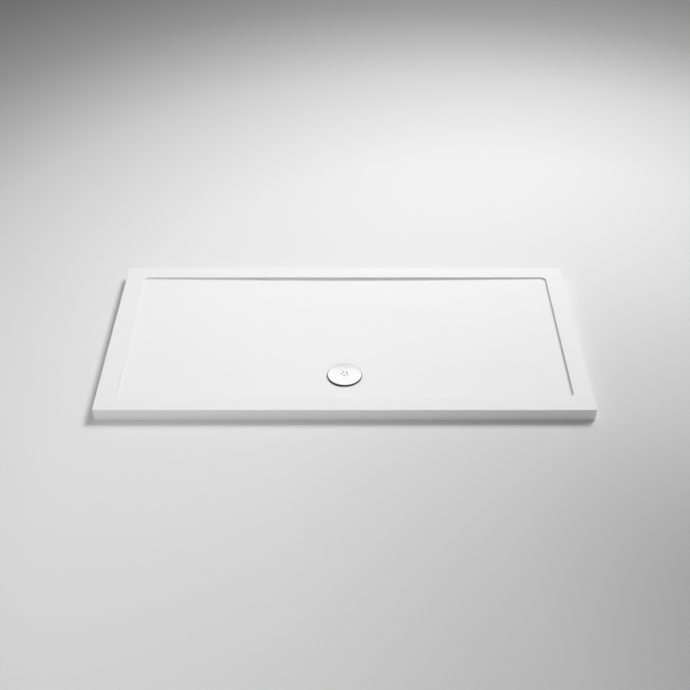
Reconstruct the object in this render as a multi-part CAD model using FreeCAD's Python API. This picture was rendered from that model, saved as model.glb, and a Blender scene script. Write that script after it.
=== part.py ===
import FreeCAD, Part
import math
import os

# Low rectangular shower tray with a 90 mm waste and its trap, in millimetres.
# Origin: centre of the bedding face (underside). +X runs along the tray, +Y to its back,
# +Z up. Each piece is one solid (or one group of like solids) in parts/NODE.step.

# ---- tray -------------------------------------------------------------------
tray_length = 1600.0
tray_width = 800.0
tray_height = 42.0
outer_corner_radius = 8.0
outer_edge_round = 1.5
skin_thickness = 3.0
hem_gap = 1.0                # skin stops this far above the bedding face
rim_width = 63.5
recess_corner_radius = 20.0
wall_angle = 60.0            # recess wall, degrees from level
wall_top_round = 2.5
wall_foot_round = 8.0
depth_at_waste = 17.0        # rim down to the floor, on the waste's axis
floor_fall = 1.0 / 80.0      # the floor is a shallow cone that falls to the waste
waste_x = 0.0
waste_from_front = 191.5
trap_recess_room = 23.0      # pocket in the underside, past the trap's flange
trap_recess_depth = 8.0

# ---- cover: a domed disc with five holes ------------------------------------
cover_overhang = 0.9         # past the flange's edge
cover_thickness = 1.6
cover_crown = 3.0
cover_edge_round = 3.2
cover_lip = 1.0
cover_gap = 1.9              # water gap under the cover's edge, above the floor
cover_hole_count = 5
cover_hole_radius = 2.4
cover_hole_circle = 9.54
cover_hole_start = 43.5      # degrees from +X
carrier_hub_room = 2.1       # from the holes to the hub's bore
carrier_hub_wall = 3.0
carrier_ring_width = 8.0
carrier_ring_thickness = 2.0
carrier_leg_count = 6
carrier_leg_radius = 3.0
carrier_leg_offset = 5.0     # leg circle past the flange's skirt
carrier_edge = 1.0           # carrier past its legs
carrier_rib_width = 2.4
foot_thickness = 0.8
finger_count = 4
finger_thickness = 2.0
finger_width = 9.0
finger_length = 11.0
finger_clearance = 0.3

# ---- lift-out dip tube and its two O-rings ----------------------------------
dip_bore = 22.0
dip_wall = 2.2
dip_band_wall = 4.2          # thick band that carries the O-rings
dip_clearance = 0.3
dip_lip_overhang = 0.5
dip_lip_thickness = 2.0
dip_band_short = 4.0         # band ends this far above the collar's foot
o_ring_section = 1.2
o_ring_clearance = 0.05
o_ring_first_drop = 6.0
o_ring_spacing = 10.0

# ---- strainer basket that hangs in the dip tube -----------------------------
strainer_clearance = 0.4
strainer_wall = 1.5
strainer_rim_set_back = 1.5
strainer_depth = 22.0
strainer_slot_count = 12
strainer_slot_width = 2.6
strainer_slot_height = 12.0
strainer_hole_radius = 1.9
strainer_hole_pitch = 5.4
pull_bar_width = 4.0
pull_loop_radius = 8.0
pull_loop_section = 1.6
pull_loop_root = 0.5

# ---- screws that draw flange and trap together ------------------------------
screw_count = 4
screw_radius = 2.4
screw_hole_clearance = 0.4
screw_end_gap = 0.5
screw_head_radius = 4.0
screw_head_height = 3.0
screw_head_round = 1.2
socket_key_radius = 1.9
socket_key_depth = 2.1
washer_radius = 4.4
washer_thickness = 0.8
washer_room = 0.5
insert_wall = 0.9
insert_length = 18.0
insert_set_down = 0.2
lug_wall = 1.8
lug_floor = 2.0
lug_room = 1.5               # between the collar and each lug
lug_to_bowl = 0.5
lug_gap = 1.0                # clamping gap left between shelf and lugs

# ---- waste flange, bolted down on its seat ----------------------------------
flange_lip = 2.0
flange_edge_round = 0.7
flange_wall = 2.5
flange_shelf = 2.5
flange_opening_room = 0.5    # around the dip tube's lip
flange_set_down = 0.3        # flange top below the edge of its seat
flange_seat_width = 11.5     # flange past the hole
flange_edge_gap = 1.5
hole_room = 2.0              # hole around the flange's skirt
seal_thickness = 1.5
seal_set_back = 0.5
body_seal_thickness = 3.0
body_seal_set_back = 1.0

# ---- trap -------------------------------------------------------------------
trap_wall = 2.8
trap_flange_width = 18.0     # flange past the bowl
trap_flange_thickness = 6.0
collar_wall = 2.5
collar_length = 28.0
outlet_bore = 17.5
outlet_wall = 3.0
outlet_stub = 22.0           # bowl to the stop at the end of the pipe
pipe_socket_radius = 21.6    # takes a 43 mm waste pipe
pipe_socket_wall = 4.4
pipe_socket_length = 34.0
socket_sleeve = 7.0          # socket's overlap on the outlet's stub
head_joint_depth = 2.0       # groove in the head that holds the bowl's edge
seal_chamber_depth = 5.0
seal_chamber_flare = 3.0
water_seal = 25.0
bowl_floor_gap = 12.0
bowl_bottom_round = 8.0
cup_joint_room = 3.5
cup_sleeve_wall = 2.5
cup_sleeve_half = 6.0

# ---- outlet nut and its rings -----------------------------------------------
nut_clearance = 0.3
nut_wall = 3.4
nut_length = 20.5
nut_end = 3.0
nut_rib_count = 12
nut_rib_radius = 1.6
nut_room = 4.7               # nut's ribs below the bedding face
slip_ring_thickness = 1.5
cone_seal_proud = 1.0
cone_seal_set_back = 0.5
seal_bore_clearance = 0.1
ring_bore_clearance = 0.2
nut_bore_clearance = 0.5

over = 1.0                   # how far a cutting tool runs past a face
same = 0.01                  # levels closer than this count as one

# ---- radii, from the dip tube outwards --------------------------------------
dip_tube_radius = dip_bore + dip_wall
dip_band_radius = dip_bore + dip_band_wall
collar_bore = dip_band_radius + dip_clearance
collar_radius = collar_bore + collar_wall
dip_lip_radius = collar_radius + dip_lip_overhang
strainer_rim_radius = dip_lip_radius - strainer_rim_set_back
flange_opening = dip_lip_radius + flange_opening_room
insert_radius = screw_radius + insert_wall
lug_radius = insert_radius + lug_wall
screw_circle = collar_radius + lug_room + lug_radius
bowl_inside_radius = screw_circle + lug_radius + lug_to_bowl
bowl_radius = bowl_inside_radius + trap_wall
trap_flange_radius = bowl_radius + trap_flange_width
skirt_inside_radius = screw_circle + washer_radius + washer_room
skirt_radius = skirt_inside_radius + flange_wall
waste_hole_radius = skirt_radius + hole_room
flange_radius = waste_hole_radius + flange_seat_width
seat_radius = flange_radius + flange_edge_gap
trap_recess_radius = trap_flange_radius + trap_recess_room
cover_radius = flange_radius + cover_overhang
carrier_leg_circle = skirt_radius + carrier_leg_offset
carrier_outer_radius = carrier_leg_circle + carrier_leg_radius + carrier_edge
carrier_hub_bore = cover_hole_circle + cover_hole_radius + carrier_hub_room
carrier_hub_radius = carrier_hub_bore + carrier_hub_wall
stub_radius = outlet_bore + outlet_wall
outlet_thread_radius = pipe_socket_radius + pipe_socket_wall
nut_radius = outlet_thread_radius + nut_clearance + nut_wall

# ---- levels and places that follow from the sizes above ---------------------
waste_y = waste_from_front - tray_width / 2
wall_slope = math.tan(math.radians(wall_angle))
wall_sine = math.sin(math.radians(wall_angle))
centre_floor_z = tray_height - depth_at_waste


def floor_z(radius):
    """Level of the tray's floor at this distance from the waste's axis."""
    return centre_floor_z + radius * floor_fall


seat_z = floor_z(seat_radius) - flange_set_down - flange_lip - seal_thickness
flange_bottom_z = seat_z + seal_thickness
flange_top_z = flange_bottom_z + flange_lip
trap_top_z = trap_recess_depth - body_seal_thickness
lug_top_z = trap_recess_depth
collar_foot_z = lug_top_z - collar_length
shelf_z = lug_top_z + lug_gap
shelf_top_z = shelf_z + flange_shelf
head_z = shelf_top_z + washer_thickness
insert_top_z = lug_top_z - insert_set_down
insert_foot_z = insert_top_z - insert_length
dip_lip_top_z = lug_top_z + dip_lip_thickness
strainer_top_z = dip_lip_top_z + strainer_wall
cover_lip_z = floor_z(cover_radius) + cover_gap
outlet_z = -(nut_room + nut_rib_radius + nut_radius)
head_low_z = trap_top_z - trap_flange_thickness
bowl_top_z = head_low_z + head_joint_depth
cup_joint_z = outlet_z - stub_radius - cup_joint_room - cup_sleeve_half
dip_end_z = outlet_z - outlet_bore - water_seal
bowl_inside_z = dip_end_z - bowl_floor_gap
bowl_outside_z = bowl_inside_z - trap_wall
socket_stop = bowl_radius + outlet_stub
socket_mouth = socket_stop + pipe_socket_length

UP = FreeCAD.Vector(0, 0, 1)
OUTLET_WAY = FreeCAD.Vector(0, 1, 0)


# ---- small helpers, all about the waste's axis unless they say otherwise -----
def at_waste(x, y, z):
    return FreeCAD.Vector(waste_x + x, waste_y + y, z)


def at_angle(radius, degrees, z):
    turn = math.radians(degrees)
    return at_waste(radius * math.cos(turn), radius * math.sin(turn), z)


def disc(radius, low, high):
    return Part.makeCylinder(radius, high - low, at_waste(0, 0, low), UP)


def ring(inner, outer, low, high):
    return disc(outer, low, high).cut(disc(inner, low, high))


def peg(radius, circle, degrees, low, high):
    return Part.makeCylinder(radius, high - low, at_angle(circle, degrees, low), UP)


def along_outlet(radius, start, end):
    return Part.makeCylinder(radius, end - start, at_waste(0, start, outlet_z), OUTLET_WAY)


def spoke(length_from, length_to, width, low, high, degrees):
    bar = Part.makeBox(length_to - length_from, width, high - low)
    bar.translate(FreeCAD.Vector(length_from, -width / 2, low))
    bar.rotate(FreeCAD.Vector(0, 0, 0), UP, degrees)
    bar.translate(at_waste(0, 0, 0))
    return bar


def turned(edges):
    """Solid of revolution about the waste's axis from edges drawn in the (radius, level) plane."""
    section = Part.Face(Part.Wire(edges))
    section.translate(at_waste(0, 0, 0))
    return section.revolve(at_waste(0, 0, 0), UP, 360)


def point(radius, level):
    return FreeCAD.Vector(radius, 0, level)


def lines(points):
    """Closed outline of straight edges through these (radius, level) pairs."""
    corners = [point(*pair) for pair in points]
    ends = corners[1:] + corners[:1]
    return [Part.LineSegment(a, b).toShape() for a, b in zip(corners, ends)]


def level_edges(shape, level):
    """The shape's edges that lie in the level plane z = level."""
    return [e for e in shape.Edges
            if abs(e.BoundBox.ZMin - level) < same and abs(e.BoundBox.ZMax - level) < same]


def spaced(count):
    return [360.0 * index / count for index in range(count)]


def save(shape, node):
    shape = shape.removeSplitter()
    shape.exportStep("parts/%s.step" % node)
    print("%-16s solids %d  volume %.1f  valid %s" % (node, len(shape.Solids), shape.Volume, shape.isValid()))


# ---- tray: one outline function gives the skin's surface and the core's ------
def rounded_outline(length, width, radius, z):
    plate = Part.makePlane(length, width, FreeCAD.Vector(-length / 2, -width / 2, z))
    block = plate.extrude(UP)
    uprights = [e for e in block.Edges if abs(e.Vertexes[0].Z - e.Vertexes[1].Z) > 0.5]
    block = block.makeFillet(radius, uprights)
    base = [f for f in block.Faces if f.CenterOfMass.z < z + 0.01]
    return base[0].OuterWire


def recess(inset):
    """Space of the recess, grown by inset into the material on every side."""
    top_z = tray_height + over
    low_z = seat_z - inset - over
    spread = inset / wall_sine

    def outline(z):
        shift = (z - tray_height) / wall_slope + spread
        length = tray_length - 2 * rim_width + 2 * shift
        width = tray_width - 2 * rim_width + 2 * shift
        return rounded_outline(length, width, recess_corner_radius + shift, z)

    walls = Part.makeLoft([outline(low_z), outline(top_z)], True, True)
    reach = tray_length
    seat = seat_radius + inset
    above_floor = turned(lines([
        (0, seat_z - inset),
        (seat, seat_z - inset),
        (seat, floor_z(seat) - inset),
        (reach, floor_z(reach) - inset),
        (reach, floor_z(reach) + 2 * tray_height),
        (0, floor_z(reach) + 2 * tray_height),
    ]))
    space = walls.common(above_floor)
    corner = math.hypot(tray_length / 2 - rim_width, tray_width - rim_width - waste_from_front)
    shallowest = tray_height - floor_z(corner)
    foot = min(wall_foot_round, shallowest * 1.2) + inset
    feet = [e for e in space.Edges if is_foot(e, inset)]
    return space.makeFillet(foot, feet)


def is_foot(edge, inset):
    """Edges where the floor meets the recess wall."""
    box = edge.BoundBox
    centre = at_waste(0, 0, 0)
    middle = edge.valueAt((edge.FirstParameter + edge.LastParameter) / 2)
    far = math.hypot(middle.x - centre.x, middle.y - centre.y) > seat_radius + inset + 1
    return far and box.ZMax < tray_height and box.ZLength < depth_at_waste / 2


def envelope(inset, low):
    """Tray body inside its outer surface by inset, standing on level low."""
    length = tray_length - 2 * inset
    width = tray_width - 2 * inset
    base = rounded_outline(length, width, max(outer_corner_radius - inset, 1.0), low)
    body = Part.Face(base).extrude(UP * (tray_height - inset - low))
    return body.cut(recess(inset))


def is_outer(edge):
    box = edge.BoundBox
    side = max(abs(box.XMin), abs(box.XMax)) > tray_length / 2 - outer_corner_radius - 1
    end = max(abs(box.YMin), abs(box.YMax)) > tray_width / 2 - outer_corner_radius - 1
    return side or end


def make_tray():
    core = envelope(skin_thickness, 0.0)
    shell = envelope(0.0, hem_gap)
    rim_edges = level_edges(shell, tray_height)
    shell = shell.makeFillet(outer_edge_round, [e for e in rim_edges if is_outer(e)])
    inner_edges = [e for e in level_edges(shell, tray_height) if not is_outer(e)]
    shell = shell.makeFillet(wall_top_round, inner_edges)
    hole = disc(waste_hole_radius, -over, tray_height)
    skin = shell.cut(core).cut(hole)
    pocket = disc(trap_recess_radius, -over, trap_recess_depth)
    save(skin, "tray_skin")
    save(core.cut(hole).cut(pocket), "resin_core")


# ---- flange, its seals and fixings ------------------------------------------
def make_flange():
    flange = turned(lines([
        (skirt_inside_radius, flange_top_z),
        (flange_radius, flange_top_z),
        (flange_radius, flange_bottom_z),
        (skirt_radius, flange_bottom_z),
        (skirt_radius, shelf_z),
        (flange_opening, shelf_z),
        (flange_opening, shelf_top_z),
        (skirt_inside_radius, shelf_top_z),
    ]))
    flange = flange.makeFillet(flange_edge_round, level_edges(flange, flange_top_z))
    for degrees in spaced(screw_count):
        hole_radius = screw_radius + screw_hole_clearance
        flange = flange.cut(peg(hole_radius, screw_circle, degrees, shelf_z - over, shelf_top_z + over))
    save(flange, "waste_flange")

    inner = waste_hole_radius + seal_set_back
    outer = flange_radius - seal_set_back
    save(ring(inner, outer, seat_z, flange_bottom_z), "flange_seal")
    inner = waste_hole_radius + body_seal_set_back
    outer = trap_flange_radius - body_seal_set_back
    save(ring(inner, outer, trap_top_z, trap_recess_depth), "body_seal")


def hexagon(radius, circle, degrees, low, high):
    centre = at_angle(circle, degrees, low)
    corners = [FreeCAD.Vector(radius * math.cos(math.radians(turn)), radius * math.sin(math.radians(turn)), 0)
               for turn in spaced(6) + [0]]
    outline = Part.makePolygon([centre + corner for corner in corners])
    return Part.Face(outline).extrude(UP * (high - low))


def make_fixings():
    screws = []
    washers = []
    inserts = []
    head_top = head_z + screw_head_height
    for degrees in spaced(screw_count):
        shank = peg(screw_radius, screw_circle, degrees, insert_foot_z + screw_end_gap, head_z)
        head = peg(screw_head_radius, screw_circle, degrees, head_z, head_top)
        head = head.makeFillet(screw_head_round, level_edges(head, head_top))
        key_low = head_top - socket_key_depth
        key = hexagon(socket_key_radius, screw_circle, degrees, key_low, head_top + over)
        screws.append(shank.fuse(head).cut(key))
        core = peg(screw_radius, screw_circle, degrees, insert_foot_z - over, head_z + over)
        washers.append(peg(washer_radius, screw_circle, degrees, shelf_top_z, head_z).cut(core))
        inserts.append(peg(insert_radius, screw_circle, degrees, insert_foot_z, insert_top_z).cut(core))
    save(Part.makeCompound(screws), "clamp_screws")
    save(Part.makeCompound(washers), "screw_washers")
    save(Part.makeCompound(inserts), "screw_inserts")


# ---- trap: head with its collar, bowl with the outlet's stub, cup, pipe socket ----
def make_trap_head():
    head = ring(collar_radius, trap_flange_radius, head_low_z, trap_top_z)
    for degrees in spaced(screw_count):
        head = head.fuse(peg(lug_radius, screw_circle, degrees, insert_foot_z - lug_floor, lug_top_z))
    for degrees in spaced(screw_count):
        head = head.cut(peg(insert_radius, screw_circle, degrees, insert_foot_z, lug_top_z + over))
    save(head.cut(ring(bowl_inside_radius, bowl_radius, head_low_z - over, bowl_top_z)), "trap_head")


def make_trap_collar():
    save(ring(collar_bore, collar_radius, collar_foot_z, lug_top_z), "trap_collar")


def make_trap_body():
    body = disc(bowl_radius, cup_joint_z, bowl_top_z)
    body = body.fuse(along_outlet(stub_radius, 0, socket_stop))
    body = body.cut(disc(bowl_inside_radius, cup_joint_z - over, bowl_top_z + over))
    save(body.cut(along_outlet(outlet_bore, 0, socket_stop + over)), "trap_body")


def make_pipe_socket():
    socket = along_outlet(outlet_thread_radius, socket_stop - socket_sleeve, socket_mouth)
    socket = socket.cut(along_outlet(stub_radius, socket_stop - socket_sleeve - over, socket_stop))
    socket = socket.cut(along_outlet(pipe_socket_radius, socket_stop, socket_mouth + over))
    chamber_start = at_waste(0, socket_mouth - seal_chamber_depth, outlet_z)
    mouth_radius = pipe_socket_radius + seal_chamber_flare
    chamber = Part.makeCone(pipe_socket_radius, mouth_radius, seal_chamber_depth, chamber_start, OUTLET_WAY)
    save(socket.cut(chamber), "pipe_socket")


def make_trap_cup():
    outside = disc(bowl_radius, bowl_outside_z, cup_joint_z)
    outside = outside.makeFillet(bowl_bottom_round, level_edges(outside, bowl_outside_z))
    inside = disc(bowl_inside_radius, bowl_inside_z, cup_joint_z)
    inside = inside.makeFillet(bowl_bottom_round - trap_wall, level_edges(inside, bowl_inside_z))
    sleeve_radius = bowl_radius + cup_sleeve_wall
    sleeve = ring(bowl_radius, sleeve_radius, cup_joint_z - cup_sleeve_half, cup_joint_z + cup_sleeve_half)
    save(outside.cut(inside).fuse(sleeve), "trap_cup")


# ---- pipe seal, slip ring and nut at the outlet ------------------------------
def make_outlet():
    seal_start = socket_mouth - seal_chamber_depth + cone_seal_set_back
    seal_end = socket_mouth + cone_seal_proud
    mouth_radius = pipe_socket_radius + seal_chamber_flare
    start_radius = pipe_socket_radius + seal_chamber_flare * cone_seal_set_back / seal_chamber_depth
    seal = Part.makeCone(start_radius, mouth_radius, socket_mouth - seal_start,
                         at_waste(0, seal_start, outlet_z), OUTLET_WAY)
    seal = seal.fuse(along_outlet(mouth_radius, socket_mouth, seal_end))
    seal_bore = pipe_socket_radius + seal_bore_clearance
    save(seal.cut(along_outlet(seal_bore, seal_start - over, seal_end + over)), "outlet_seal")

    ring_end = seal_end + slip_ring_thickness
    slip = along_outlet(outlet_thread_radius - nut_clearance, seal_end, ring_end)
    slip_bore = pipe_socket_radius + ring_bore_clearance
    save(slip.cut(along_outlet(slip_bore, seal_end - over, ring_end + over)), "slip_ring")

    nut_start = ring_end - nut_length
    nut = along_outlet(nut_radius, nut_start, ring_end + nut_end)
    for degrees in spaced(nut_rib_count):
        turn = math.radians(degrees)
        rise = nut_radius * math.sin(turn)
        place = at_waste(nut_radius * math.cos(turn), nut_start, outlet_z + rise)
        nut = nut.fuse(Part.makeCylinder(nut_rib_radius, nut_length + nut_end, place, OUTLET_WAY))
    nut = nut.cut(along_outlet(outlet_thread_radius + nut_clearance, nut_start - over, ring_end))
    nut_bore = pipe_socket_radius + nut_bore_clearance
    nut = nut.cut(along_outlet(nut_bore, nut_start, ring_end + nut_end + over))
    save(nut, "outlet_nut")


# ---- dip tube with its two O-rings -------------------------------------------
def make_dip_tube():
    band_foot_z = collar_foot_z + dip_band_short
    tube = ring(dip_bore, dip_lip_radius, lug_top_z, dip_lip_top_z)
    tube = tube.fuse(ring(dip_bore, dip_band_radius, band_foot_z, lug_top_z))
    tube = tube.fuse(ring(dip_bore, dip_tube_radius, dip_end_z, band_foot_z))
    ring_centre = collar_bore - o_ring_clearance - o_ring_section
    groove_radius = ring_centre - o_ring_section
    for index in range(2):
        level = lug_top_z - o_ring_first_drop - index * o_ring_spacing
        low = level - o_ring_section
        high = level + o_ring_section
        tube = tube.cut(ring(groove_radius, dip_band_radius + over, low, high))
        o_ring = Part.makeTorus(ring_centre, o_ring_section, at_waste(0, 0, level), UP)
        save(o_ring, "dip_o_ring_%d" % (index + 1))
    save(tube, "dip_tube")


# ---- strainer basket with slots, a holed bottom and a pull loop ---------------
def make_strainer():
    outer = dip_bore - strainer_clearance
    inner = outer - strainer_wall
    low = strainer_top_z - strainer_depth
    basket = ring(inner, strainer_rim_radius, dip_lip_top_z, strainer_top_z)
    basket = basket.fuse(ring(inner, outer, low, dip_lip_top_z))
    basket = basket.fuse(disc(outer, low, low + strainer_wall))
    slot_low = low + 2 * strainer_wall
    slot_high = slot_low + strainer_slot_height
    for degrees in spaced(strainer_slot_count):
        slot = spoke(inner - over, outer + over, strainer_slot_width, slot_low, slot_high, degrees)
        basket = basket.cut(slot)
    hole_rings = int((inner - strainer_hole_radius) / strainer_hole_pitch)
    places = [(0.0, 0.0)]
    for number in range(1, hole_rings + 1):
        places += [(strainer_hole_pitch * number, degrees) for degrees in spaced(6 * number)]
    for circle, degrees in places:
        hole = peg(strainer_hole_radius, circle, degrees, low - over, low + strainer_wall + over)
        basket = basket.cut(hole)
    bar_end = inner + strainer_wall / 2
    bar = spoke(-bar_end, bar_end, pull_bar_width, dip_lip_top_z, strainer_top_z, 0)
    loop = Part.makeTorus(pull_loop_radius, pull_loop_section, at_waste(0, 0, strainer_top_z), OUTLET_WAY)
    half = 2 * pull_loop_radius
    root_z = strainer_top_z - pull_loop_root
    lower_half = Part.makeBox(2 * half, 2 * half, half, at_waste(-half, -half, root_z - half))
    save(basket.fuse(bar).fuse(loop.cut(lower_half)), "hair_strainer")


# ---- domed cover with five holes, on its carrier -----------------------------
def dome_edges(inset):
    """Half outline of the domed cover, inset from its outer surface."""
    crown_radius = (cover_radius ** 2 + cover_crown ** 2) / (2 * cover_crown)
    edge_r = cover_radius - cover_edge_round
    tilt = math.asin(edge_r / (crown_radius - cover_edge_round))
    edge_z = cover_lip_z + cover_lip
    centre_z = edge_z - (crown_radius - cover_edge_round) * math.cos(tilt)
    dome = crown_radius - inset
    nose = cover_edge_round - inset
    bend = (tilt + math.pi / 2) / 2
    top = point(0, centre_z + dome)
    upper = point(dome * math.sin(tilt / 2), centre_z + dome * math.cos(tilt / 2))
    shoulder = point(dome * math.sin(tilt), centre_z + dome * math.cos(tilt))
    corner = point(edge_r + nose * math.sin(bend), edge_z + nose * math.cos(bend))
    side = point(edge_r + nose, edge_z)
    foot = point(edge_r + nose, cover_lip_z)
    centre = point(0, cover_lip_z)
    return [
        Part.Arc(top, upper, shoulder).toShape(),
        Part.Arc(shoulder, corner, side).toShape(),
        Part.LineSegment(side, foot).toShape(),
        Part.LineSegment(foot, centre).toShape(),
        Part.LineSegment(centre, top).toShape(),
    ]


def make_cover():
    cover = turned(dome_edges(0.0)).cut(turned(dome_edges(cover_thickness)))
    top_z = cover.BoundBox.ZMax
    for degrees in spaced(cover_hole_count):
        turn = cover_hole_start + degrees
        hole = peg(cover_hole_radius, cover_hole_circle, turn, cover_lip_z, top_z + over)
        cover = cover.cut(hole)
    save(cover, "waste_cover")


def make_carrier():
    top_z = cover_lip_z + 2 * cover_crown + cover_edge_round
    ring_bore = carrier_outer_radius - carrier_ring_width
    carrier = ring(ring_bore, carrier_outer_radius, cover_lip_z, top_z)
    carrier = carrier.fuse(ring(carrier_hub_bore, carrier_hub_radius, cover_lip_z, top_z))
    for degrees in spaced(carrier_leg_count):
        rib = spoke(carrier_hub_radius - over, ring_bore + over, carrier_rib_width, cover_lip_z, top_z, degrees)
        carrier = carrier.fuse(rib)
    carrier = carrier.common(turned(dome_edges(cover_thickness)))
    reach = skirt_inside_radius - finger_clearance
    web_top = cover_lip_z + carrier_ring_thickness
    carrier = carrier.fuse(ring(reach - finger_thickness, ring_bore + over, cover_lip_z, web_top))
    finger_foot = cover_lip_z - finger_length
    finger_ring = ring(reach - finger_thickness, reach, finger_foot, cover_lip_z)
    for degrees in spaced(finger_count):
        turn = degrees + 180.0 / finger_count
        slab = spoke(reach - 2 * finger_thickness, reach + over, finger_width, finger_foot, cover_lip_z, turn)
        carrier = carrier.fuse(finger_ring.common(slab))
    foot_top_z = flange_top_z + foot_thickness
    feet = []
    for degrees in spaced(carrier_leg_count):
        carrier = carrier.fuse(peg(carrier_leg_radius, carrier_leg_circle, degrees, foot_top_z, cover_lip_z))
        feet.append(peg(carrier_leg_radius, carrier_leg_circle, degrees, flange_top_z, foot_top_z))
    save(carrier, "cover_carrier")
    save(Part.makeCompound(feet), "cover_feet")


os.makedirs("parts", exist_ok=True)
make_tray()
make_flange()
make_fixings()
make_trap_head()
make_trap_collar()
make_trap_body()
make_trap_cup()
make_pipe_socket()
make_outlet()
make_dip_tube()
make_strainer()
make_cover()
make_carrier()
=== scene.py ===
import math

import bpy
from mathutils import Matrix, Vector


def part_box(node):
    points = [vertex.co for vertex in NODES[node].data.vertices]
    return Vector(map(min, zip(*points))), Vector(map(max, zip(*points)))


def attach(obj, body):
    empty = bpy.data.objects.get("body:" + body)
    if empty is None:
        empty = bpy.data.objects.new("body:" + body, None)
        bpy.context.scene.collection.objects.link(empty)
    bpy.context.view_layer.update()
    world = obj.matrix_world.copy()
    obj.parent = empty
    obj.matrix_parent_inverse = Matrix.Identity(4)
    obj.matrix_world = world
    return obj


# Looks of a low white shower tray with its waste and trap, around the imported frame. Lengths are
# in metres and angles in degrees.

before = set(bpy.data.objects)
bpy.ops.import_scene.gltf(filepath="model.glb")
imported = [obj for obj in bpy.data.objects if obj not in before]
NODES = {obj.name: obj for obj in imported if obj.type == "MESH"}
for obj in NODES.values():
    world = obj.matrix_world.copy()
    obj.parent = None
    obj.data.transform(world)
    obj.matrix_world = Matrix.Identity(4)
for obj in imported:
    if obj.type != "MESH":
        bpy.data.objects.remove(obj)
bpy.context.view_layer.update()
RIM_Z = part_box("tray_skin")[1].z

# ---- thread on the pipe socket ---------------------------------------------------
THREAD_PITCH = 0.004
THREAD_WIDTH = 0.0026
THREAD_HEIGHT = 0.00022      # of the crest above the socket's wall
THREAD_SINK = 0.0003         # of the foot into the wall
THREAD_START = 0.0085        # from the low end of the socket's box
THREAD_STEPS = 48            # in a turn
THREAD_SECTION = (           # share of the width along the socket, height above its wall
    (-0.5, -THREAD_SINK),
    (-0.2, THREAD_HEIGHT),
    (0.2, THREAD_HEIGHT),
    (0.5, -THREAD_SINK),
)

# ---- rolled edges of the cover's five holes --------------------------------------
DOME_RADIUS = 0.5506         # of the cover's top
HOLE_COUNT = 5
HOLE_CIRCLE = 0.00954        # radius to the holes' centres
HOLE_START = 43.5            # from +X to the first hole
EDGE_INSIDE = 0.00238        # radius of an edge's inner side
EDGE_WIDTH = 0.00056
EDGE_HEIGHT = 0.00022        # of the crest above the cover
EDGE_SINK = 0.00006          # of the foot into the cover
EDGE_STEPS = 24              # round a hole
EDGE_SECTION = (             # share of the width outwards, height above the cover
    (0.0, -EDGE_SINK),
    (0.35, EDGE_HEIGHT),
    (0.65, EDGE_HEIGHT),
    (1.0, -EDGE_SINK),
)

# ---- camera: the photograph's, solved for a 1600 mm tray -------------------------
CAMERA_PLACE = (0.00109, -3.10465, 2.38066 + RIM_Z)
CAMERA_PITCH = 38.077        # below level
CAMERA_CLIP = 100.0
SENSOR = 36.0                # millimetres
FRAME_PIXELS = 690
FOCAL_PIXELS = 1138.26

# ---- floor: a painted pool of light in ovals round a middle, palest halfway out
FLOOR_Z = 0.0
FLOOR_REACH = 45.0           # from the tray's middle to each side
FLOOR_LAP = 0.002            # how far it goes under the core's edges
# The floor's greys are painted light, a pool of light and its falloff, not the floor's own
# colour.
LIGHT_POOL_MIDDLE = (1.2, -1.2)
LIGHT_POOL_TURN = 60.0
LIGHT_POOL_SQUASH = 0.7
LIGHT_POOL_REACH = 3.757          # to the last grey
LIGHT_POOL_GREYS = (0.466, 0.631, 0.706, 0.729, 0.679, 0.487, 0.412)

# ---- light -----------------------------------------------------------------------
# The key is a wide soft lamp behind the tray on the right, with a smaller one beside it for the
# far floor, and a weaker fill in front.
LAMPS = {
    "key": {
        "place": (4.5, 6.0, 8.0),
        "aim": (0.2, 0.4, 0.0),
        "cone": 40.0,
        "power": 4020.0,
        "radius": 2.2,
    },
    "far": {
        "place": (5.0, 3.6, 7.0),
        "aim": (0.5, 1.1, 0.0),
        "cone": 28.0,
        "power": 1450.0,
        "radius": 1.3,
    },
    "fill": {
        "place": (-1.0, -6.0, 5.0),
        "aim": (-1.0, -0.6, 0.0),
        "cone": 36.0,
        "power": 920.0,
        "radius": 1.2,
    },
}
AMBIENT = 0.19
WHITE = (1.0, 1.0, 1.0, 1.0)

# Glossy surfaces mirror no lamp, but a grey room with a bright card behind the tray and a dim
# one on its right. Each edge runs from none of a card to all of it, along one axis of the ray.
ROOM = 0.5
CARD = 1.10
CARD_FOOT = (0.15, 0.64)     # z
CARD_TOP = (0.93, 0.84)      # z
CARD_FRONT = (0.2, 0.5)      # y
SIDE_CARD = 0.35
SIDE_EDGE = (0.25, 0.9)      # x
BELOW = 0.8                  # light from under the floor, for views from below
BELOW_EDGE = (-0.05, -0.2)   # z

# ---- shader sockets and settings -------------------------------------------------
MIX_FIRST = 6                # a Mix node's colour sockets share their names with others
MIX_SECOND = 7
MIX_RESULT = 2
BEVEL_SAMPLES = 4
NOISE_LOW = 0.3              # most of a noise lies between these
NOISE_HIGH = 0.7


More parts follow.
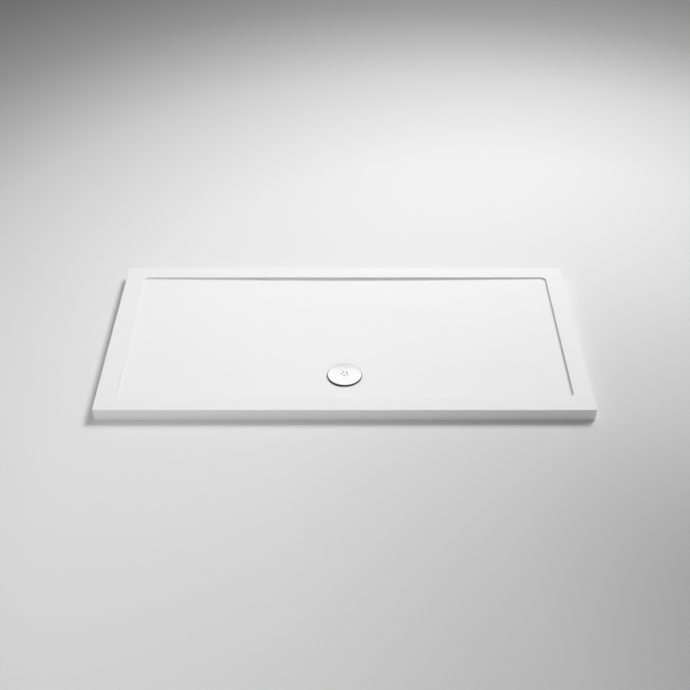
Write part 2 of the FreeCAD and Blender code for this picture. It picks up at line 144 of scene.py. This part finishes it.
# ---- node helpers ----------------------------------------------------------------
class Surface:
    """A new principled material, with short calls for its procedural nodes."""

    def __init__(self, name):
        self.material = bpy.data.materials.new(name)
        self.material.use_nodes = True
        self.tree = self.material.node_tree
        self.shader = self.tree.nodes["Principled BSDF"]

    def set(self, **values):
        for name, value in values.items():
            self.shader.inputs[name.replace("_", " ")].default_value = value

    def node(self, kind, **inputs):
        made = self.tree.nodes.new(kind)
        for name, value in inputs.items():
            made.inputs[name.replace("_", " ")].default_value = value
        return made

    def link(self, source, target):
        self.tree.links.new(source, target)

    def object_place(self):
        return self.tree.nodes.new("ShaderNodeTexCoord").outputs["Object"]

    def noise(self, scale, detail=2.0, roughness=0.5, place=None):
        made = self.node("ShaderNodeTexNoise", Scale=scale, Detail=detail, Roughness=roughness)
        self.link(place or self.object_place(), made.inputs["Vector"])
        return made.outputs["Fac"]

    def ramp(self, source, stops):
        """Greys or colours, each at its place along the source."""
        made = self.tree.nodes.new("ShaderNodeValToRGB")
        points = made.color_ramp.elements
        while len(points) < len(stops):
            points.new(0.5)
        for point, (place, value) in zip(points, stops):
            point.position = place
            colour = value if isinstance(value, tuple) else (value, value, value)
            point.color = (*colour, 1.0)
        self.link(source, made.inputs["Fac"])
        return made.outputs["Color"]

    def clouded(self, source, low, high):
        """From one grey or colour to the other, along a noise."""
        return self.ramp(source, [(NOISE_LOW, low), (NOISE_HIGH, high)])

    def spread(self, source, low, high):
        made = self.node("ShaderNodeMapRange", To_Min=low, To_Max=high)
        self.link(source, made.inputs["Value"])
        return made.outputs["Result"]

    def levelness(self):
        """1 where the surface is level, 0 where it is upright."""
        parts = self.tree.nodes.new("ShaderNodeSeparateXYZ")
        shape = self.tree.nodes.new("ShaderNodeNewGeometry")
        self.link(shape.outputs["Normal"], parts.inputs["Vector"])
        size = self.tree.nodes.new("ShaderNodeMath")
        size.operation = "ABSOLUTE"
        self.link(parts.outputs["Z"], size.inputs[0])
        return size.outputs["Value"]

    def multiplied(self, first, second):
        mix = self.node("ShaderNodeMix", Factor=1.0)
        mix.data_type = "RGBA"
        mix.blend_type = "MULTIPLY"
        self.link(first, mix.inputs[MIX_FIRST])
        self.link(second, mix.inputs[MIX_SECOND])
        return mix.outputs[MIX_RESULT]

    def bevelled(self, radius, before):
        """Softens the light on sharp edges by this radius."""
        made = self.node("ShaderNodeBevel", Radius=radius)
        made.samples = BEVEL_SAMPLES
        self.link(before, made.inputs["Normal"])
        return made.outputs["Normal"]

    def bump(self, source, distance, strength=1.0, before=None):
        made = self.node("ShaderNodeBump", Strength=strength, Distance=distance)
        self.link(source, made.inputs["Height"])
        if before is not None:
            self.link(before, made.inputs["Normal"])
        return made.outputs["Normal"]

    def colour(self, source):
        self.link(source, self.shader.inputs["Base Color"])

    def rough(self, source):
        self.link(source, self.shader.inputs["Roughness"])

    def normal(self, source):
        self.link(source, self.shader.inputs["Normal"])


# ---- materials -------------------------------------------------------------------
def white_acrylic():
    """Satin acrylic, faintly wavy, with soft wipe marks. Painted shade makes it a little greyer
    on the sloped walls of the recess."""
    made = Surface("white_acrylic")
    made.set(IOR=1.49, Specular_IOR_Level=0.35)
    tint = made.noise(scale=1.7, detail=3.0)
    sheet = made.clouded(tint, low=0.785, high=0.80)
    # painted shade: faces that slope like the recess walls get a greyer colour
    wall_shade = made.ramp(made.levelness(), [(0.25, 1.0), (0.45, 0.88), (0.85, 0.88), (0.97, 1.0)])
    made.colour(made.multiplied(sheet, wall_shade))
    wipe = made.noise(scale=9.0, detail=4.0, roughness=0.6)
    made.rough(made.spread(wipe, low=0.34, high=0.46))
    waves = made.bump(made.noise(scale=38.0), distance=0.00003)
    peel = made.noise(scale=420.0)
    made.normal(made.bump(peel, distance=0.000006, strength=0.7, before=waves))
    return made.material


def cast_resin():
    """Stone-resin casting: grey filler with dark grains and a rough, pitted back."""
    made = Surface("cast_resin")
    cloud = made.noise(scale=6.0, detail=5.0, roughness=0.6)
    base = made.clouded(cloud, low=(0.50, 0.49, 0.47), high=(0.62, 0.61, 0.585))
    grains = made.node("ShaderNodeTexVoronoi", Scale=520.0)
    made.link(made.object_place(), grains.inputs["Vector"])
    specks = made.ramp(grains.outputs["Distance"], [(0.0, 0.7), (0.28, 1.0)])
    made.colour(made.multiplied(base, specks))
    made.rough(made.spread(cloud, low=0.62, high=0.85))
    pits = made.bump(made.noise(scale=140.0, detail=4.0, roughness=0.7), distance=0.0006)
    made.normal(made.bump(grains.outputs["Distance"], distance=0.0003, strength=0.6, before=pits))
    return made.material


def polished_chrome():
    """Chrome with a painted dark reflection and shade towards the turned-down edge."""
    made = Surface("polished_chrome")
    made.set(Metallic=1.0)
    smears = made.noise(scale=30.0, detail=3.0, roughness=0.6)
    plating = made.clouded(smears, low=0.86, high=0.90)
    # painted dark reflection and shade: the colour darkens as the surface turns from level
    # towards upright
    edge = made.ramp(made.levelness(), [(0.78, 0.05), (0.97, 1.0)])
    made.colour(made.multiplied(plating, edge))
    made.rough(made.spread(smears, low=0.03, high=0.09))
    made.normal(made.bump(made.noise(scale=700.0), distance=0.000002))
    return made.material


def brushed_steel():
    """Stainless steel with fine scratches along X."""
    made = Surface("brushed_steel")
    made.set(Metallic=1.0)
    stretch = made.node("ShaderNodeMapping", Scale=(40.0, 900.0, 900.0))
    made.link(made.object_place(), stretch.inputs["Vector"])
    brush = made.noise(scale=1.0, detail=3.0, roughness=0.6, place=stretch.outputs["Vector"])
    made.colour(made.clouded(brush, low=(0.50, 0.50, 0.51), high=(0.66, 0.66, 0.67)))
    made.rough(made.spread(brush, low=0.26, high=0.42))
    scratches = made.bump(brush, distance=0.00002, strength=0.6)
    made.normal(made.bevelled(radius=0.0003, before=scratches))
    return made.material


def brass():
    """Turned brass, slightly stained."""
    made = Surface("turned_brass")
    made.set(Metallic=1.0)
    stain = made.noise(scale=180.0, detail=3.0)
    made.colour(made.clouded(stain, low=(0.62, 0.42, 0.15), high=(0.78, 0.58, 0.26)))
    made.rough(made.spread(stain, low=0.22, high=0.4))
    return made.material


def moulded_plastic(name, low, high, roughness=0.42):
    """Injection-moulded plastic: even colour with faint flow clouds and a fine spark texture."""
    made = Surface(name)
    clouds = made.noise(scale=45.0, detail=3.0)
    made.colour(made.clouded(clouds, low, high))
    spark = made.noise(scale=900.0)
    made.rough(made.spread(spark, low=roughness - 0.06, high=roughness + 0.08))
    grain = made.bump(spark, distance=0.00002, strength=0.5)
    made.normal(made.bevelled(radius=0.0005, before=grain))
    return made.material


def black_rubber():
    """Dull moulded rubber with a fine grain."""
    made = Surface("black_rubber")
    clouds = made.noise(scale=120.0, detail=3.0)
    made.colour(made.clouded(clouds, low=0.014, high=0.028))
    made.rough(made.spread(clouds, low=0.6, high=0.8))
    made.normal(made.bump(made.noise(scale=1500.0), distance=0.00002, strength=0.6))
    return made.material


def floor_with_painted_light():
    """Pale floor with a painted pool of light and its falloff in graduated greys; from below it
    is clear, so that the underside can be seen.
    """
    made = Surface("floor_with_painted_light")
    made.set(Roughness=0.9, Specular_IOR_Level=0.15)
    turn = math.radians(LIGHT_POOL_TURN)
    middle_x = LIGHT_POOL_MIDDLE[0] * math.cos(turn) - LIGHT_POOL_MIDDLE[1] * math.sin(turn)
    middle_y = LIGHT_POOL_MIDDLE[0] * math.sin(turn) + LIGHT_POOL_MIDDLE[1] * math.cos(turn)
    oval = made.node(
        "ShaderNodeMapping",
        Scale=(1.0, 1.0, 0.0),
        Rotation=(0.0, 0.0, turn),
        Location=(-middle_x, -middle_y, 0.0),
    )
    made.link(made.object_place(), oval.inputs["Vector"])
    squash = made.tree.nodes.new("ShaderNodeVectorMath")
    squash.operation = "MULTIPLY"
    squash.inputs[1].default_value = (LIGHT_POOL_SQUASH / LIGHT_POOL_REACH, 1.0 / LIGHT_POOL_REACH, 0.0)
    made.link(oval.outputs["Vector"], squash.inputs[0])
    reach = made.tree.nodes.new("ShaderNodeVectorMath")
    reach.operation = "LENGTH"
    made.link(squash.outputs["Vector"], reach.inputs[0])
    last = len(LIGHT_POOL_GREYS) - 1
    stops = [(index / last, grey) for index, grey in enumerate(LIGHT_POOL_GREYS)]
    # painted light: the greys fall off in ovals round the middle like a pool of light
    made.colour(made.ramp(reach.outputs["Value"], stops))

    shape = made.tree.nodes.new("ShaderNodeNewGeometry")
    clear = made.tree.nodes.new("ShaderNodeBsdfTransparent")
    mix = made.tree.nodes.new("ShaderNodeMixShader")
    made.link(shape.outputs["Backfacing"], mix.inputs["Fac"])
    made.link(made.shader.outputs["BSDF"], mix.inputs[1])
    made.link(clear.outputs["BSDF"], mix.inputs[2])
    made.link(mix.outputs["Shader"], made.tree.nodes["Material Output"].inputs["Surface"])
    return made.material


# ---- finishes on the carried-over nodes ------------------------------------------
def dress_nodes():
    """Gives every CAD node its material, and returns them by the node's name."""
    steel = brushed_steel()
    rubber = black_rubber()
    trap = moulded_plastic("white_polypropylene", (0.70, 0.70, 0.68), (0.76, 0.76, 0.74))
    ring = moulded_plastic("ring_plastic", (0.03, 0.03, 0.035), (0.05, 0.05, 0.055))
    dip = moulded_plastic("dip_plastic", (0.09, 0.10, 0.11), (0.12, 0.13, 0.14))
    basket = moulded_plastic("strainer_plastic", (0.62, 0.64, 0.66), (0.7, 0.72, 0.74), 0.3)
    carrier = moulded_plastic("carrier_plastic", (0.24, 0.25, 0.27), (0.3, 0.31, 0.33))
    finishes = {
        "tray_skin": white_acrylic(),
        "resin_core": cast_resin(),
        "waste_flange": steel,
        "clamp_screws": steel,
        "screw_washers": steel,
        "screw_inserts": brass(),
        "flange_seal": rubber,
        "body_seal": rubber,
        "outlet_seal": rubber,
        "dip_o_ring_1": rubber,
        "dip_o_ring_2": rubber,
        "cover_feet": rubber,
        "trap_head": trap,
        "trap_collar": trap,
        "trap_body": trap,
        "pipe_socket": trap,
        "trap_cup": trap,
        "outlet_nut": trap,
        "slip_ring": ring,
        "dip_tube": dip,
        "hair_strainer": basket,
        "waste_cover": polished_chrome(),
        "cover_carrier": carrier,
    }
    for name, finish in finishes.items():
        slots = NODES[name].data.materials
        slots.clear()
        slots.append(finish)
    return finishes


# ---- detail added to the fittings ------------------------------------------------
def add_detail(name, corners, faces, finish, body):
    """A new piece of these faces, with its finish and the body it rides on."""
    mesh = bpy.data.meshes.new(name)
    mesh.from_pydata(corners, [], faces)
    mesh.materials.append(finish)
    detail = bpy.data.objects.new(name, mesh)
    bpy.context.scene.collection.objects.link(detail)
    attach(detail, body)


def make_socket_thread(finish):
    """The fine thread that the outlet nut turns on, one ridge wound round the pipe socket."""
    low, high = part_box("pipe_socket")
    centre_x = (low.x + high.x) / 2
    centre_z = (low.z + high.z) / 2
    radius = (high.x - low.x) / 2
    start = low.y + THREAD_START
    end = high.y - THREAD_WIDTH
    count = int(THREAD_STEPS * (end - start) / THREAD_PITCH)
    corners = []
    for index in range(count + 1):
        turn = 2 * math.pi * index / THREAD_STEPS
        along = start + THREAD_PITCH * index / THREAD_STEPS
        for shift, proud in THREAD_SECTION:
            reach = radius + proud
            across = reach * math.sin(turn)
            rise = reach * math.cos(turn)
            corners.append((centre_x + across, along + shift * THREAD_WIDTH, centre_z + rise))
    sides = len(THREAD_SECTION)
    faces = [tuple(range(sides)), tuple(sides * count + side for side in reversed(range(sides)))]
    for index in range(count):
        first = sides * index
        after = first + sides
        for side in range(sides):
            other = (side + 1) % sides
            faces.append((first + side, after + side, after + other, first + other))
    add_detail("socket_thread", corners, faces, finish, "tray")


def make_hole_edges(finish):
    """The low rolled edge round each hole in the cover, where the plated sheet was punched."""
    low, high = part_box("waste_cover")
    centre_x = (low.x + high.x) / 2
    centre_y = (low.y + high.y) / 2
    sides = len(EDGE_SECTION)
    corners = []
    faces = []
    for hole in range(HOLE_COUNT):
        way = math.radians(HOLE_START + 360.0 * hole / HOLE_COUNT)
        hole_x = HOLE_CIRCLE * math.cos(way)
        hole_y = HOLE_CIRCLE * math.sin(way)
        base = len(corners)
        for index in range(EDGE_STEPS):
            turn = 2 * math.pi * index / EDGE_STEPS
            for share, proud in EDGE_SECTION:
                reach = EDGE_INSIDE + share * EDGE_WIDTH
                x = hole_x + reach * math.cos(turn)
                y = hole_y + reach * math.sin(turn)
                drop = (x * x + y * y) / (2 * DOME_RADIUS)
                corners.append((centre_x + x, centre_y + y, high.z - drop + proud))
        for index in range(EDGE_STEPS):
            first = base + sides * index
            after = base + sides * ((index + 1) % EDGE_STEPS)
            for side in range(sides):
                other = (side + 1) % sides
                faces.append((first + side, first + other, after + other, after + side))
    add_detail("hole_edges", corners, faces, finish, "cover")


# ---- stage -----------------------------------------------------------------------
def make_floor():
    """The subfloor, open under the tray, where the trap hangs and the underside can be seen."""
    low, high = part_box("resin_core")
    left = low.x + FLOOR_LAP
    right = high.x - FLOOR_LAP
    front = low.y + FLOOR_LAP
    back = high.y - FLOOR_LAP
    far = FLOOR_REACH
    inner = [(left, front), (right, front), (right, back), (left, back)]
    outer = [(-far, -far), (far, -far), (far, far), (-far, far)]
    sides = len(inner)
    faces = []
    for side in range(sides):
        after = (side + 1) % sides
        faces.append((side, sides + side, sides + after, after))
    mesh = bpy.data.meshes.new("floor")
    mesh.from_pydata([(x, y, FLOOR_Z) for x, y in inner + outer], [], faces)
    mesh.materials.append(floor_with_painted_light())
    floor = bpy.data.objects.new("floor", mesh)
    bpy.context.scene.collection.objects.link(floor)


def make_light(name, spec):
    """A soft spot lamp that no surface mirrors."""
    lamp = bpy.data.lights.new(name, "SPOT")
    lamp.energy = spec["power"]
    lamp.shadow_soft_size = spec["radius"]
    lamp.spot_size = math.radians(spec["cone"])
    lamp.spot_blend = 1.0
    light = bpy.data.objects.new(name, lamp)
    bpy.context.scene.collection.objects.link(light)
    ray = Vector(spec["aim"]) - Vector(spec["place"])
    light.location = spec["place"]
    light.rotation_euler = ray.to_track_quat("-Z", "Y").to_euler()
    light.visible_glossy = False


def make_world():
    """Dim even light, light from below, and for glossy rays a grey room with two cards."""
    world = bpy.data.worlds.new("studio")
    bpy.context.scene.world = world
    world.use_nodes = True
    tree = world.node_tree
    back = tree.nodes["Background"]
    back.inputs["Color"].default_value = WHITE

    def calc(how, first, second):
        made = tree.nodes.new("ShaderNodeMath")
        made.operation = how
        for socket, value in zip(made.inputs, (first, second)):
            if isinstance(value, float):
                socket.default_value = value
            else:
                tree.links.new(value, socket)
        return made.outputs["Value"]

    def fade(source, edge):
        made = tree.nodes.new("ShaderNodeMapRange")
        made.interpolation_type = "SMOOTHSTEP"
        made.inputs["From Min"].default_value = edge[0]
        made.inputs["From Max"].default_value = edge[1]
        tree.links.new(source, made.inputs["Value"])
        return made.outputs["Result"]

    place = tree.nodes.new("ShaderNodeTexCoord")
    way = tree.nodes.new("ShaderNodeSeparateXYZ")
    tree.links.new(place.outputs["Generated"], way.inputs["Vector"])
    x, y, z = (way.outputs[axis] for axis in "XYZ")
    card = calc("MULTIPLY", fade(z, CARD_FOOT), fade(z, CARD_TOP))
    card = calc("MULTIPLY", calc("MULTIPLY", card, fade(y, CARD_FRONT)), CARD)
    side = calc("MULTIPLY", fade(x, SIDE_EDGE), SIDE_CARD)
    seen = calc("MAXIMUM", calc("ADD", card, side), ROOM)
    glossy = tree.nodes.new("ShaderNodeLightPath").outputs["Is Glossy Ray"]
    soft = calc("MULTIPLY", calc("SUBTRACT", 1.0, glossy), AMBIENT)
    above = calc("ADD", calc("MULTIPLY", seen, glossy), soft)
    under = calc("MULTIPLY", fade(z, BELOW_EDGE), BELOW)
    tree.links.new(calc("MAXIMUM", above, under), back.inputs["Strength"])


def make_camera():
    """The photograph's camera, which looks down along +Y."""
    data = bpy.data.cameras.new("camera")
    data.sensor_width = SENSOR
    data.lens = FOCAL_PIXELS * SENSOR / FRAME_PIXELS
    data.clip_end = CAMERA_CLIP
    camera = bpy.data.objects.new("camera", data)
    camera.location = CAMERA_PLACE
    camera.rotation_euler = (math.radians(90.0 - CAMERA_PITCH), 0.0, 0.0)
    bpy.context.scene.collection.objects.link(camera)
    bpy.context.scene.camera = camera


make_camera()
finishes = dress_nodes()
make_socket_thread(finishes["pipe_socket"])
make_hole_edges(finishes["waste_cover"])
make_floor()
for lamp_name, lamp_spec in LAMPS.items():
    make_light(lamp_name, lamp_spec)
make_world()
bpy.context.scene.view_settings.view_transform = "Standard"
